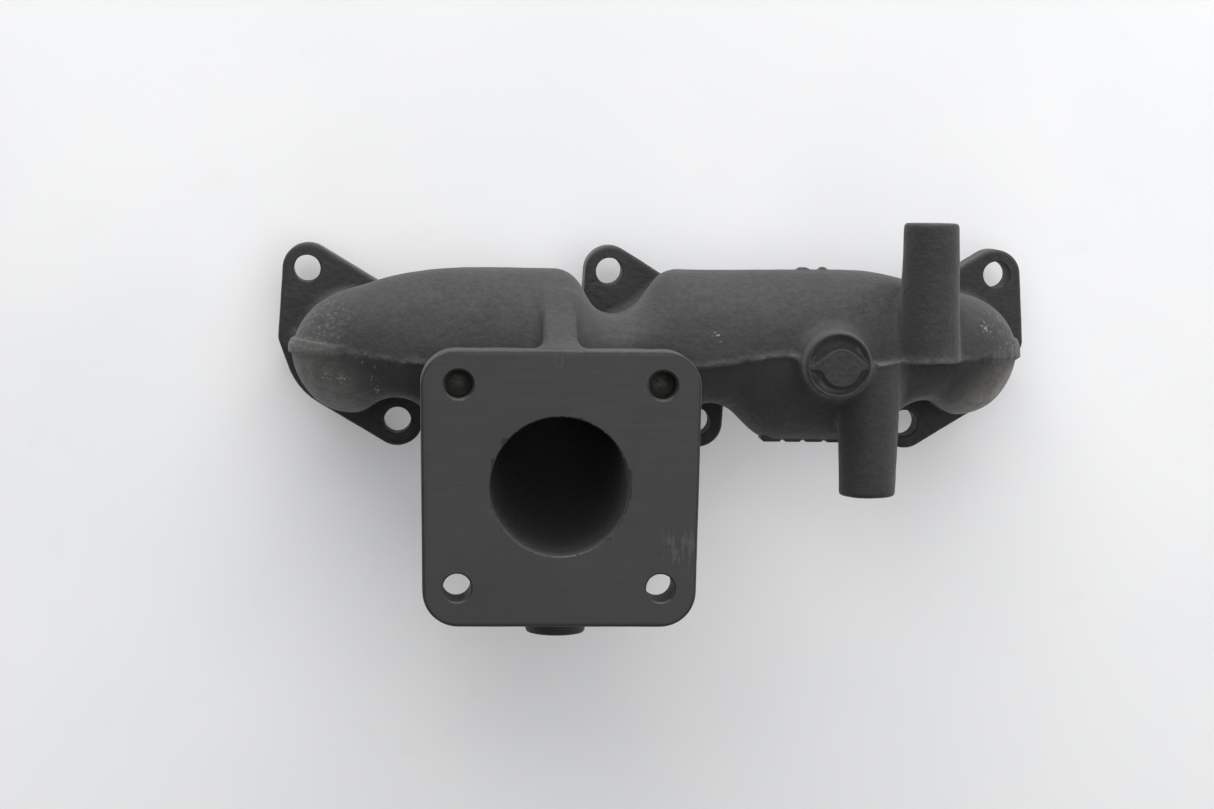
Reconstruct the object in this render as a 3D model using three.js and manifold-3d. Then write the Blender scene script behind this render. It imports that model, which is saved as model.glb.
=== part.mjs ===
// Exhaust manifold for a three-cylinder engine: one iron casting, with machined head faces and a machined
// outlet face. The casting is held here as its named sections. The sections meet on flat planes with no gap,
// and none overlaps another.
//
// Frame, in millimetres: the three head faces lie on z = 0 and +Z points out of the cylinder head, towards the
// outlet face. +X runs along the log from port 1 to port 3. +Y is the side of the log away from the outlet.
// The ports' centre line is at y = PORT_LINE_Y, which puts the origin at the middle of the bottom of the box.
import * as THREE from "three";
import { mergeVertices } from "three/addons/utils/BufferGeometryUtils.js";
import { ParametricGeometry } from "three/addons/geometries/ParametricGeometry.js";
import Module from "manifold-3d";

const wasm = await Module();
wasm.setup();

// ---------------------------------------------------------------- driving dimensions, mm
const PORT_PITCH = 95; // cylinder spacing
const PORT_LINE_Y = 21.75; // where the ports' centre line lies in the part's own frame
const PORT_R = 14; // port bore
const STUD_DX = 14.3; // a head stud hole's offset from its port centre, along the log
const STUD_DY = 23.8; // and across it
const STUD_HOLE_R = 4.25; // clearance for an M8 stud
const EAR_R = 8; // head flange radius round a stud hole
const HEAD_T = 12; // head flange thickness
const HEAD_BODY_R = 20.8; // head flange radius round the port
const NECK_R = 19.2; // runner outside radius, just above its flange
const WALL = 5; // nominal iron wall
const PART_Y = -0.75; // the casting's parting plane, measured from the ports' centre line

const LOG_X0 = -113.9; // the log's tips
const LOG_X1 = 112.2;
const LOG_FRONT = 58; // the log's crest, away from the head
const LOG_BACK = 14; // the log's face towards the head
const LOG_MID = 35; // the height of the log's tips

const OUT_X = -32.9; // outlet bore centre
const OUT_Y = -36.8;
const OUT_Z = 80; // outlet face
const OUT_T = 15; // outlet flange thickness
const OUT_BORE_R = 20.6;
const OUT_PIPE_R = 25.5; // outlet branch outside radius
const OUT_BEND_R = 27; // branch centre-line bend radius
const OUT_SPACING = 60; // square of outlet bolt holes
const OUT_HOLE_R = 4.2;
const BLIND_DEPTH = 10.5; // full-diameter depth of the two upper, blind holes
const BLIND_TIP = 12.9; // depth at the drill point

const UPPER_POST = { x: 80.3, z: 54, end: 41, rEnd: 8.1, rRoot: 9.3 };
const LOWER_POST = { x: 62.15, z: 54, end: -41.75, rEnd: 8.4, rRoot: 9.7 };
const ELBOW_BOSS = { x: -32.4, z: 51, end: -84.5, rEnd: 9.1, rRoot: 9.7 };
const GATE = { x: 51, y: -1.5, z: 67, r: 10.1, groove: 8.2, nub: 5.6, depth: 1.4 };
const RIB = { x: -32.5, half: 4.85 };

const SEG = 28; // sides of a full circle

// ---------------------------------------------------------------- solids
// A closed three.js geometry as a solid that can be joined and cut.
function solid(geometry) {
  const g = geometry.clone();
  for (const n of Object.keys(g.attributes)) if (n !== "position") g.deleteAttribute(n);
  const m = mergeVertices(g, 1e-4);
  const idx = m.index.array,
    keep = [];
  for (let i = 0; i < idx.length; i += 3) {
    const [a, b, c] = [idx[i], idx[i + 1], idx[i + 2]];
    if (a !== b && b !== c && a !== c) keep.push(a, b, c);
  }
  const make = (t) =>
    new wasm.Manifold(
      new wasm.Mesh({
        numProp: 3,
        vertProperties: new Float32Array(m.attributes.position.array),
        triVerts: new Uint32Array(t),
      }),
    );
  let s = make(keep);
  if (s.volume() < 0) {
    for (let i = 0; i < keep.length; i += 3) [keep[i + 1], keep[i + 2]] = [keep[i + 2], keep[i + 1]];
    s = make(keep);
  }
  return s;
}
const box = (x0, x1, y0, y1, z0, z1) =>
  solid(
    new THREE.BoxGeometry(x1 - x0, y1 - y0, z1 - z0).translate((x0 + x1) / 2, (y0 + y1) / 2, (z0 + z1) / 2),
  );
// A round bar or cone along Z, and along Y.
const barZ = (x, y, z0, z1, r0, r1 = r0, n = SEG) =>
  solid(new THREE.CylinderGeometry(r1, r0, z1 - z0, n).rotateX(Math.PI / 2).translate(x, y, (z0 + z1) / 2));
const barY = (x, z, y0, y1, r0, r1 = r0, n = SEG) =>
  solid(new THREE.CylinderGeometry(r1, r0, y1 - y0, n).translate(x, (y0 + y1) / 2, z));
const ball = (x, y, z, r, sx = 1, sy = 1, sz = 1) =>
  solid(new THREE.SphereGeometry(r, SEG, SEG / 2).scale(sx, sy, sz).translate(x, y, z));
const plate = (points, z0, z1) =>
  solid(
    new THREE.ExtrudeGeometry(new THREE.Shape(points.map(([x, y]) => new THREE.Vector2(x, y))), {
      depth: z1 - z0,
      bevelEnabled: false,
    }).translate(0, 0, z0),
  );
const join = (...s) => s.reduce((a, b) => a.add(b));
const cut = (a, ...s) => s.reduce((p, b) => p.subtract(b), a);

// The outline round a set of circles [x, y, r]: their convex hull.
function hullOf(circles, n = 32) {
  const p = circles.flatMap(([x, y, r]) =>
    Array.from({ length: n }, (_, i) => [
      x + r * Math.cos((2 * Math.PI * i) / n),
      y + r * Math.sin((2 * Math.PI * i) / n),
    ]),
  );
  p.sort((a, b) => a[0] - b[0] || a[1] - b[1]);
  const turn = (o, a, b) => (a[0] - o[0]) * (b[1] - o[1]) - (a[1] - o[1]) * (b[0] - o[0]);
  const chain = (list) => {
    const h = [];
    for (const q of list) {
      while (h.length > 1 && turn(h[h.length - 2], h[h.length - 1], q) <= 1e-3) h.pop();
      h.push(q);
    }
    return h.slice(0, -1);
  };
  return [...chain(p), ...chain([...p].reverse())];
}

// A value read from a table of [x, value], eased between its rows.
function along(table, x) {
  if (x <= table[0][0]) return table[0][1];
  for (let i = 1; i < table.length; i++)
    if (x <= table[i][0]) {
      const t = (x - table[i - 1][0]) / (table[i][0] - table[i - 1][0]);
      return THREE.MathUtils.lerp(table[i - 1][1], table[i][1], THREE.MathUtils.smoothstep(t, 0, 1));
    }
  return table[table.length - 1][1];
}

// ---------------------------------------------------------------- the log
// Each end closes as a long quarter ellipse; between the ends the section is constant above the parting plane,
// and deeper below it between ports 2 and 3.
const LOG_UP = [
  [-20, 26.5],
  [20, 26.8],
];
const LOG_LOW = [
  [-95, 18.4],
  [-75, 22],
  [10, 22],
  [16, 18],
  [34, 25.3],
  [60, 25.3],
  [88, 18.6],
];
const END_L = { at: -55, len: -55 - LOG_X0 }; // where the left end starts to close, and its length
const END_R = { at: 54, len: LOG_X1 - 54 };
function closing(x, grow) {
  const e = x < END_L.at ? [END_L.at - x, END_L.len + grow] : x > END_R.at ? [x - END_R.at, END_R.len + grow] : [0, 1];
  return Math.sqrt(Math.max(0, 1 - (e[0] / e[1]) ** 2));
}
// The log as a loft along X, its surface moved out by grow.
function logLoft(grow, stations, ring) {
  const x0 = LOG_X0 - grow,
    x1 = LOG_X1 + grow;
  const at = (u, v, target) => {
    // stations crowd towards both ends, where the section changes fastest
    const x = THREE.MathUtils.lerp(x0, x1, (1 - Math.cos(Math.PI * u)) / 2 * 0.55 + u * 0.45);
    const c = u <= 0 || u >= 1 ? 0 : closing(x, grow);
    const a = 2 * Math.PI * v,
      ca = Math.cos(a),
      sa = Math.sin(a);
    const up = (along(LOG_UP, x) + grow) * c,
      low = (along(LOG_LOW, x) + grow) * c,
      front = (LOG_FRONT + grow - LOG_MID) * c,
      back = (LOG_MID - (LOG_BACK - grow)) * c;
    target.set(x, PART_Y + (sa >= 0 ? up : low) * sa, LOG_MID + (ca >= 0 ? front : back) * ca);
  };
  return solid(new ParametricGeometry(at, stations, ring));
}

// ---------------------------------------------------------------- head flanges
const ports = [-PORT_PITCH, 0, PORT_PITCH];
const hand = [1, 1, -1]; // ports 1 and 2 have their upper hole on the left, port 3 on the right
const studs = ports.flatMap((x, i) => [
  { x: x - hand[i] * STUD_DX, y: STUD_DY, r: 11.8 },
  { x: x + hand[i] * STUD_DX, y: -STUD_DY, r: 10.9 },
]);
const headOutline = (i) =>
  hullOf([
    [ports[i], 0, HEAD_BODY_R],
    [ports[i] - hand[i] * 19.3, 2.5, 4],
    [ports[i] + hand[i] * 19.3, -2.5, 4],
    [ports[i] - hand[i] * STUD_DX, STUD_DY, EAR_R],
    [ports[i] + hand[i] * STUD_DX, -STUD_DY, EAR_R],
  ]);
const headPlates = ports.map((_, i) => plate(headOutline(i), 0, HEAD_T));

// ---------------------------------------------------------------- outlet branch
class Bend extends THREE.Curve {
  // from the outlet face down and round into the log
  getPoint(t, target = new THREE.Vector3()) {
    const straight = 6,
      arc = (Math.PI / 2) * OUT_BEND_R,
      tail = 6,
      s = t * (straight + arc + tail),
      z1 = OUT_Z - OUT_T;
    if (s < straight) return target.set(OUT_X, OUT_Y, z1 + straight - s);
    if (s > straight + arc)
      return target.set(OUT_X, OUT_Y + OUT_BEND_R + (s - straight - arc), z1 - OUT_BEND_R);
    const a = (s - straight) / OUT_BEND_R;
    return target.set(OUT_X, OUT_Y + OUT_BEND_R * (1 - Math.cos(a)), z1 - OUT_BEND_R * Math.sin(a));
  }
}
const disc = (r, n) =>
  new THREE.Shape(
    Array.from({ length: n }, (_, i) => new THREE.Vector2(r * Math.cos((2 * Math.PI * i) / n), r * Math.sin((2 * Math.PI * i) / n))),
  );
const bend = (r) =>
  solid(new THREE.ExtrudeGeometry(disc(r, SEG), { steps: 10, bevelEnabled: false, extrudePath: new Bend() }));

const outOutline = hullOf(
  [
    [-63.4, -7.35, 10.5],
    [-2.2, -7.35, 10.5],
    [-62.3, -67.85, 10.5],
    [-3.3, -67.85, 10.5],
  ],
  32,
);
const outPlate = plate(outOutline, OUT_Z - OUT_T, OUT_Z);
const half = OUT_SPACING / 2;

// ---------------------------------------------------------------- outside of the whole casting
let outside = logLoft(0, 26, 24);
for (const x of ports)
  outside = join(outside, barZ(x, 0, HEAD_T - 2, 24, NECK_R), ball(x, 0, 24, NECK_R));
// Hollows that clear the stud nuts and the socket that turns them.
for (const s of studs) outside = cut(outside, barZ(s.x, s.y, HEAD_T, 75, s.r, s.r, 28));
outside = join(outside, bend(OUT_PIPE_R));
outside = cut(outside, barZ(-PORT_PITCH + STUD_DX, -STUD_DY, HEAD_T, 64, 10.9, 10.9, 28));
outside = join(
  outside,
  // posts, tapered for draft; each stops on the parting plane
  barY(UPPER_POST.x, UPPER_POST.z, PART_Y, UPPER_POST.end, UPPER_POST.rRoot, UPPER_POST.rEnd, 28),
  barY(LOWER_POST.x, LOWER_POST.z, LOWER_POST.end, PART_Y, LOWER_POST.rEnd, LOWER_POST.rRoot, 28),
  barY(ELBOW_BOSS.x, ELBOW_BOSS.z, ELBOW_BOSS.end, OUT_Y, ELBOW_BOSS.rEnd, ELBOW_BOSS.rRoot, 28),
  barZ(GATE.x, GATE.y, 52, GATE.z, GATE.r + 1.2, GATE.r, 32),
  outPlate,
);
// The rib from the log's shoulder to the outlet flange, in side view (y, z).
const ribSide = [
  [21.5, 44],
  [20.5, 51],
  [3.15, 74],
  [-6, 74],
  [-6, 44],
];
const rib = solid(
  new THREE.ExtrudeGeometry(new THREE.Shape(ribSide.map(([y, z]) => new THREE.Vector2(y, z))), {
    depth: 2 * RIB.half,
    bevelEnabled: false,
  })
    // shape x is the part's y, shape y is its z, and the extrusion runs along its x
    .applyMatrix4(new THREE.Matrix4().set(0, 0, 1, RIB.x - RIB.half, 1, 0, 0, 0, 0, 1, 0, 0, 0, 0, 0, 1)),
);
outside = join(outside, rib, ...headPlates);
// Raised plain bars on the belly and on the log's crest.
const bars = [
  [33.2, 38.4, -27.1, -24],
  [39.6, 44.8, -27.1, -24],
  [46, 51.2, -27.1, -24],
  [44.4, 47, 24, 27.2],
  [50.2, 52.8, 24, 27.2],
];
for (const [x0, x1, y0, y1] of bars) outside = join(outside, box(x0, x1, y0, y1, 29, 39));

// ---------------------------------------------------------------- gas passages
let inside = logLoft(-WALL, 18, 20);
for (const x of ports) inside = join(inside, barZ(x, 0, 2, 26, PORT_R), ball(x, 0, 26, PORT_R));
for (const s of studs) inside = cut(inside, barZ(s.x, s.y, HEAD_T - 6, 75, s.r + 3.4, s.r + 3.4, 28));
inside = join(inside, bend(OUT_BORE_R));
inside = cut(inside, barZ(-PORT_PITCH + STUD_DX, -STUD_DY, HEAD_T - 6, 75, 14.3, 14.3, 28));
for (const x of ports) inside = join(inside, barZ(x, 0, -2, HEAD_T, PORT_R));
inside = join(inside, barZ(OUT_X, OUT_Y, OUT_Z - OUT_T - 1, OUT_Z + 2, OUT_BORE_R));

// ---------------------------------------------------------------- drilled holes
let holes = join(...studs.map((s) => barZ(s.x, s.y, -2, HEAD_T + 2, STUD_HOLE_R, STUD_HOLE_R, 24)));
for (const sx of [-1, 1]) {
  holes = join(holes, barZ(OUT_X + sx * half, OUT_Y - half, OUT_Z - OUT_T - 20, OUT_Z + 2, OUT_HOLE_R, OUT_HOLE_R, 24));
  const x = OUT_X + sx * half,
    y = OUT_Y + half;
  holes = join(
    holes,
    barZ(x, y, OUT_Z - BLIND_DEPTH, OUT_Z + 2, OUT_HOLE_R, OUT_HOLE_R, 24),
    barZ(x, y, OUT_Z - BLIND_TIP, OUT_Z - BLIND_DEPTH, 0.3, OUT_HOLE_R, 24),
  );
}
// The groove round the gate boss's ground nub.
const groove = cut(
  barZ(GATE.x, GATE.y, GATE.z - GATE.depth, GATE.z + 2, GATE.groove, GATE.groove, 28),
  barZ(GATE.x, GATE.y, GATE.z - GATE.depth - 1, GATE.z + 3, GATE.nub, GATE.nub, 28),
);

const casting = cut(outside, inside, holes, groove);

// ---------------------------------------------------------------- sections
// Each section is the casting inside some boxes, [x0, x1, y0, y1, z0, z1], less the sections before it.
const FAR = 200;
const sections = [
  ["port_flange_1", [[-FAR, -56, -40, 40, -5, HEAD_T]]],
  ["port_flange_2", [[-56, 56, -40, 40, -5, HEAD_T]]],
  ["port_flange_3", [[56, FAR, -40, 40, -5, HEAD_T]]],
  ["outlet_flange", [[-90, 20, -FAR, 4, OUT_Z - OUT_T, FAR]]],
  ["gusset_rib", [[-38, -27, 4, 30, 53.5, FAR]]],
  ["gate_boss", [
    [39, 52, -14, 12, 58.5, FAR],
    [52, 64, PART_Y, 12, 58.5, FAR],
    [52, 64, -14, PART_Y, 63.75, FAR],
  ]],
  ["upper_bracket_post", [
    [70.5, 91, PART_Y, FAR, 53.5, FAR],
    [70.5, 91, 26.5, FAR, 40, FAR],
  ]],
  ["lower_bracket_post", [
    [52, 73, -FAR, PART_Y, 53.5, FAR],
    [52, 73, -FAR, -27.5, 40, FAR],
  ]],
  ["elbow_boss", [[-45, -20, -FAR, -63, 30, OUT_Z - OUT_T]]],
  ["outlet_elbow", [[-60, -5, -FAR, -22, 0, OUT_Z - OUT_T]]],
  ["port_1_end", [[-FAR, -72, -FAR, FAR, HEAD_T, FAR]]],
  ["log_left", [[-72, -20, -FAR, FAR, HEAD_T, FAR]]],
  ["port_2_tee", [[-20, STUD_DX, -FAR, FAR, HEAD_T, FAR]]],
  ["log_right", [[STUD_DX, 72, -FAR, FAR, HEAD_T, FAR]]],
  ["port_3_end", [[72, FAR, -FAR, FAR, HEAD_T, FAR]]],
];

const COLOURS = { machined: 0x4b4a4b, cast: 0x4f4e50, face: 0x56555a };
const root = new THREE.Group();
root.name = "exhaust_manifold";
root.position.y = PORT_LINE_Y;
let rest = casting;
for (const [name, cells] of sections) {
  const cell = join(...cells.map((c) => box(...c)));
  const piece = rest.intersect(cell);
  rest = rest.subtract(cell);
  const m = piece.getMesh();
  const g = new THREE.BufferGeometry()
    .setAttribute("position", new THREE.BufferAttribute(new Float32Array(m.vertProperties), 3))
    .setIndex(new THREE.BufferAttribute(new Uint32Array(m.triVerts), 1));
  g.computeVertexNormals();
  const machined = name.includes("flange");
  const mesh = new THREE.Mesh(
    g,
    new THREE.MeshStandardMaterial({
      color: machined ? COLOURS.face : COLOURS.cast,
      roughness: machined ? 0.6 : 0.85,
      metalness: 0.35,
    }),
  );
  mesh.name = name;
  root.add(mesh);
}

export default root;
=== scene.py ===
import math

import bmesh
import bpy
import numpy as np
import openvdb
from mathutils import Matrix, Vector


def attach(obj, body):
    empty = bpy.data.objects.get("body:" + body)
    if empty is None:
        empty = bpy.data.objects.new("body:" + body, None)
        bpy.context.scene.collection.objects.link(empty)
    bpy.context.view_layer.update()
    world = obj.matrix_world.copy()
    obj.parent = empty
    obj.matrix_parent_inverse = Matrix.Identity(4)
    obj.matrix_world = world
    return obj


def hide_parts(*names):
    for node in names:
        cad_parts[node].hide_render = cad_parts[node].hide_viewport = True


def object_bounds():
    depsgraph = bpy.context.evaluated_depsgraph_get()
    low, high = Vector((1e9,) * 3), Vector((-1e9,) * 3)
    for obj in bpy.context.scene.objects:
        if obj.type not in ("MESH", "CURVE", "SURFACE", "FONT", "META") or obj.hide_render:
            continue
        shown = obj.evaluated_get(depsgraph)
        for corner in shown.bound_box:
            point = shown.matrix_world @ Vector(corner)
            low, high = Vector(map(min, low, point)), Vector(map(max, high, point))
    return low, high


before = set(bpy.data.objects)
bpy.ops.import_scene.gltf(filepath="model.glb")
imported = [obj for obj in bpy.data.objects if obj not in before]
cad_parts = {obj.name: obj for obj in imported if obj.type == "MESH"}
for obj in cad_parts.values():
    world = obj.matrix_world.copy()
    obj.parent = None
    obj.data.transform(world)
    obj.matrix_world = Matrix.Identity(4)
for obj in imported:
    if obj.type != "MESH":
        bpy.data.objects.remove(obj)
cad_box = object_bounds()

# ------------------------------------------------------------------ driving dimensions
# Millimetres, measured from the middle port's centre: x along the log, y across it, z out of the head.
PORT_LINE_Y = 21.75  # that centre's y in the row frame
PITCH = 95.0
PORTS = [(-PITCH, 1), (0.0, 1), (PITCH, -1)]  # port x, and which way its stud pattern leans
PORT_R = 14.0
STUD_DX, STUD_DY, STUD_R, EAR_R = 14.3, 23.8, 4.25, 8.0
HEAD_T, HEAD_BODY_R, NECK_R, WALL = 12.0, 20.8, 19.2, 5.0
PART_Y = -0.75
BLUNT = 2.28  # how full the log's two ends are: 2 is an ellipse
OUT_X, OUT_Y, OUT_Z, OUT_T = -32.9, -36.8, 80.0, 15.0
OUT_BORE_R, OUT_PIPE_R, BEND_R, OUT_HALF, OUT_HOLE_R = 20.6, 25.5, 27.0, 30.0, 4.2
UPPER_POST = dict(x=80.4, z=54.0, end=41.0, r_end=8.3, r_root=9.5)
LOWER_POST = dict(x=62.2, z=54.0, end=-42.1, r_end=8.5, r_root=9.8)
ELBOW_BOSS = dict(x=-32.4, z=51.0, end=-84.5, r_end=9.1, r_root=9.7)
GATE = dict(x=51.0, y=-1.5, z=66.95, r=9.7)
RIB_X, RIB_HALF = -32.5, 4.85

CELL = 0.62  # grid cell
TRIS = 195000  # most triangles on the casting
LO = np.array([-121.5, -88.0, -5.5])
HI = np.array([121.5, 44.5, 85.5])


def table(x, rows, smooth=True):
    xs, ys = [r[0] for r in rows], [r[1] for r in rows]
    if not smooth:
        return np.interp(x, xs, ys)
    out = np.full(np.shape(x), ys[0], float)
    for (x0, y0), (x1, y1) in zip(rows, rows[1:]):
        t = np.clip((x - x0) / (x1 - x0), 0, 1)
        out = np.where(x > x0, y0 + (y1 - y0) * t * t * (3 - 2 * t), out)
    return out


# ------------------------------------------------------------------ distance fields
N = np.ceil((HI - LO) / CELL).astype(int) + 1
AX = [(LO[i] + CELL * np.arange(N[i])).astype(np.float32) for i in range(3)]
X, Y, Z = AX[0][:, None, None], AX[1][None, :, None], AX[2][None, None, :]
X2, Y2 = AX[0][:, None], AX[1][None, :]


def join(a, b, r):
    """Union with a fillet of radius r."""
    if r <= 0:
        return np.minimum(a, b)
    return np.maximum(r, np.minimum(a, b)) - np.sqrt(np.maximum(r - a, 0) ** 2 + np.maximum(r - b, 0) ** 2)


def both(a, b, r):
    """Intersection with its edge rounded to radius r."""
    if r <= 0:
        return np.maximum(a, b)
    return -join(-a, -b, r)


def cut(a, b, r):
    return both(a, -b, r)


def part(lo, hi):
    """The slices of the grid from lo to hi."""
    s = []
    for i in range(3):
        a = 0 if lo[i] is None else max(0, int((lo[i] - LO[i]) / CELL))
        b = N[i] if hi[i] is None else min(N[i], int((hi[i] - LO[i]) / CELL) + 2)
        s.append(slice(a, b))
    return tuple(s)


def at(sl):
    return X[sl[0]], Y[:, sl[1]], Z[:, :, sl[2]]


def add(f, shape, r, lo=(None,) * 3, hi=(None,) * 3):
    """Joins shape(x, y, z) to the field f inside the box from lo to hi."""
    sl = part(lo, hi)
    f[sl] = join(f[sl], shape(*at(sl)), r)


def take(f, shape, r, lo=(None,) * 3, hi=(None,) * 3):
    sl = part(lo, hi)
    f[sl] = cut(f[sl], shape(*at(sl)), r)


def hull_of(circles, n=48):
    p = sorted(
        (x + r * math.cos(2 * math.pi * i / n), y + r * math.sin(2 * math.pi * i / n))
        for x, y, r in circles
        for i in range(n)
    )
    turn = lambda o, a, b: (a[0] - o[0]) * (b[1] - o[1]) - (a[1] - o[1]) * (b[0] - o[0])

    def chain(ps):
        h = []
        for q in ps:
            while len(h) > 1 and turn(h[-2], h[-1], q) <= 1e-4:
                h.pop()
            h.append(q)
        return h[:-1]

    return chain(p) + chain(p[::-1])


def polygon(x, y, pts):
    """Signed distance to a closed outline, with x and y of shapes that broadcast."""
    d, inside = np.float32(1e9), False
    for (ax, ay), (bx, by) in zip(pts, pts[1:] + pts[:1]):
        ex, ey = bx - ax, by - ay
        wx, wy = x - ax, y - ay
        t = np.clip((wx * ex + wy * ey) / (ex * ex + ey * ey), 0, 1)
        d = np.minimum(d, (wx - ex * t) ** 2 + (wy - ey * t) ** 2)
        crosses = ((ay <= y) & (by > y)) | ((by <= y) & (ay > y))
        side = (x - ax) * (by - ay) - (y - ay) * ex
        inside = inside ^ (crosses & (np.where(by > ay, side, -side) < 0))
    return (np.sqrt(d) * np.where(inside, -1, 1)).astype(np.float32)


def noise(size, seed, lo=LO):
    """Smooth random field over the grid, about -1 to 1, with features of that size."""
    rng = np.random.RandomState(seed)
    n = [int((HI[i] - LO[i]) / size) + 4 for i in range(3)]
    v = rng.uniform(-1, 1, n).astype(np.float32)
    for ax in range(3):
        u = (AX[ax] - LO[ax]) / size
        i = u.astype(int)
        t = u - i
        t = (t * t * (3 - 2 * t)).astype(np.float32)
        shape = [1, 1, 1]
        shape[ax] = -1
        t = t.reshape(shape)
        v = np.take(v, i, ax) * (1 - t) + np.take(v, i + 1, ax) * t
    return v


# the parting line's height along the log
YP_ROWS = [(-115, 0.6), (-104, 0.2), (-97, -0.2), (-94, -0.4), (-87, -1.2), (-79, -2.4), (-72, -2.6), (10, -3.1), (20, -2.2), (25, -1.0), (33, 0.3), (38, 0.4), (41, -1.0), (44, -1.9), (52, -1.9), (62, -2.0), (72, -1.0), (84, -0.8), (95.7, -0.6), (101, -0.2), (113, 0.4)]
# upper and lower edges of the ground bands where the parting line runs round the log's ends
BANDS = [
    ([(-116, 4.2), (-111, 3.5), (-104, 2.8), (-96.8, 2.0)], [(-116, -0.8), (-112, -1.1), (-103, -1.5), (-94, -1.5)]),
    ([(97, 0.3), (100, 1.6), (106, 3.8), (113, 5.2)], [(97, -2.3), (103, -1.8), (111, -1.2), (113, -1.1)]),
]
_rng = np.random.RandomState(7)
_w = _rng.uniform(-1, 1, 90)


def ripple(x, step=2.8):
    u = (x + 125) / step
    i = np.clip(np.floor(u).astype(int), 0, 87)
    t = u - np.floor(u)
    t = t * t * (3 - 2 * t)
    return _w[i] * (1 - t) + _w[i + 1] * t


def yp(x):
    return (table(x, YP_ROWS) + 0.16 * ripple(x)).astype(np.float32)


END_L, END_R = -55.0, 54.0
TIP_L, TIP_R = -111.9, 109.5
UP_ROWS = [(-90, 26.3), (-55, 26.4), (-20, 26.3), (5, 26.3), (60, 26.7), (80, 25.4)]
LOW_ROWS = [(-95, 18.6), (-75, 22.0), (9, 21.5), (15, 17.2), (20, 17.3), (32.5, 25.2), (35, 26.1), (62, 26.2), (88, 18.2)]


def log_half(x, y, z, upper, grow=0.0):
    """One half of the log, not yet clipped at the parting line. Its middle lies past the parting plane, so the two halves meet in a crease."""
    shift = table(x, [(-104, 1.0), (-70, 3.0), (80, 3.0), (104, 1.0)] if upper else [(-104, 1.5), (-86, 4.5), (-66, 8.0), (80, 8.0), (104, 1.5)])
    b = table(x, UP_ROWS if upper else LOW_ROWS) + shift + grow
    y0 = PART_Y - shift if upper else PART_Y + shift
    k = np.sqrt(1 - (shift / 30.0) ** 2)
    front = (23.0 + 0 * x if upper else table(x, [(-100, 22.9), (-84, 22.5), (-60, 22.2), (60, 22.2), (92, 22.7)])) / k + grow
    back = 21.0 / k + grow
    len_l = (END_L - TIP_L) / k + grow
    len_r = (TIP_R - END_R) / k + grow
    gx = np.where(x < END_L, len_l, len_r)
    ex = np.where(x < END_L, (END_L - x) / len_l, np.where(x > END_R, (x - END_R) / len_r, 0))
    yy = (y - y0) / b
    fz = np.where(z > 35, front, back)
    zz = (z - 35) / fz
    q = ex**BLUNT + yy**2 + zz**2
    g = (BLUNT / 2 * ex ** (BLUNT - 1) / gx) ** 2 + (yy / b) ** 2 + (zz / fz) ** 2
    q = np.sqrt(q)
    return ((q - 1) * q / np.sqrt(g + 1e-7)).astype(np.float32)


def tube_z(cx, cy, r, grow=0.0):
    return lambda x, y, z: (np.sqrt((x - cx) ** 2 + (y - cy) ** 2) - r - grow) + 0 * z


def neck(px, py, r, top):
    """A round runner up from a head flange, closed by a ball."""
    return lambda x, y, z: np.sqrt((x - px) ** 2 + (y - py) ** 2 + np.maximum(z - top, 0) ** 2) - r


def post(p, upper):
    """A round post along y with a drafted side and a slightly rounded end."""
    sign = 1 if p["end"] > 0 else -1
    length = abs(p["end"] - PART_Y)

    def shape(x, y, z):
        t = np.clip((y - PART_Y) * sign / length, -0.2, 1.1)
        r = p["r_root"] + (p["r_end"] - p["r_root"]) * t
        side = np.sqrt((x - p["x"]) ** 2 + (z - p["z"]) ** 2) - r
        return both(side, (y - p["end"]) * sign + 0 * side, 1.1)

    return shape


def bend(r):
    """The outlet branch: down from the outlet face and round into the log."""
    cy, cz = OUT_Y + BEND_R, OUT_Z - OUT_T

    def shape(x, y, z):
        dx2 = (x - OUT_X) ** 2
        straight = np.sqrt(dx2 + (y - OUT_Y) ** 2)
        rho = np.sqrt((y - cy) ** 2 + (z - cz) ** 2)
        arc = np.sqrt(dx2 + (rho - BEND_R) ** 2)
        tail = np.sqrt(dx2 + (z - (cz - BEND_R)) ** 2 + np.maximum(y + 7.0, 0) ** 2)
        return np.where(z > cz, straight, np.where(y < cy, arc, tail)) - r

    return shape


# runners up from the head flanges: dx, y above and below the parting line, radius above and below, height of the closing ball
NECKS = [(0.5, -0.4, -2.2, 17.0, 17.6, 29.0), (0.0, 0.0, 0.0, 19.0, 18.8, 24.0), (-1.5, -0.4, -1.9, 18.3, 17.3, 29.0)]
STUDS = []
for px, lean in PORTS:
    STUDS.append((px - lean * STUD_DX, STUD_DY, "T"))
    STUDS.append((px + lean * STUD_DX, -STUD_DY, "B"))

# the hollows that clear the stud nuts: centre x, y, radius, how round their edge is
HOLLOWS = [
    (-109.3, 23.8, 8.8, 1.5),
    (-14.3, 21.0, 9.6, 10.0),
    (109.3, 23.8, 8.8, 1.5),
    (-80.7, -24.0, 10.2, 3.0),
    (14.3, -24.6, 9.6, 2.0),
    (80.7, -24.0, 10.2, 3.0),
]


def head_outline(i):
    px, lean = PORTS[i]
    return hull_of(
        [
            (px, 0, HEAD_BODY_R + (0.4 if i == 0 else 0.0)),
            (px - lean * 19.3, 2.5, 4),
            (px + lean * 19.3, -2.5, 4),
            (px - lean * (STUD_DX - 0.3), STUD_DY, EAR_R),
            (px + lean * STUD_DX, -STUD_DY, EAR_R),
        ]
    )


OUT_OUTLINE = hull_of([(-63.55, -7.35, 10.5), (-1.95, -7.35, 10.5), (-62.55, -67.85, 10.5), (-2.85, -67.85, 10.5)])


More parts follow.
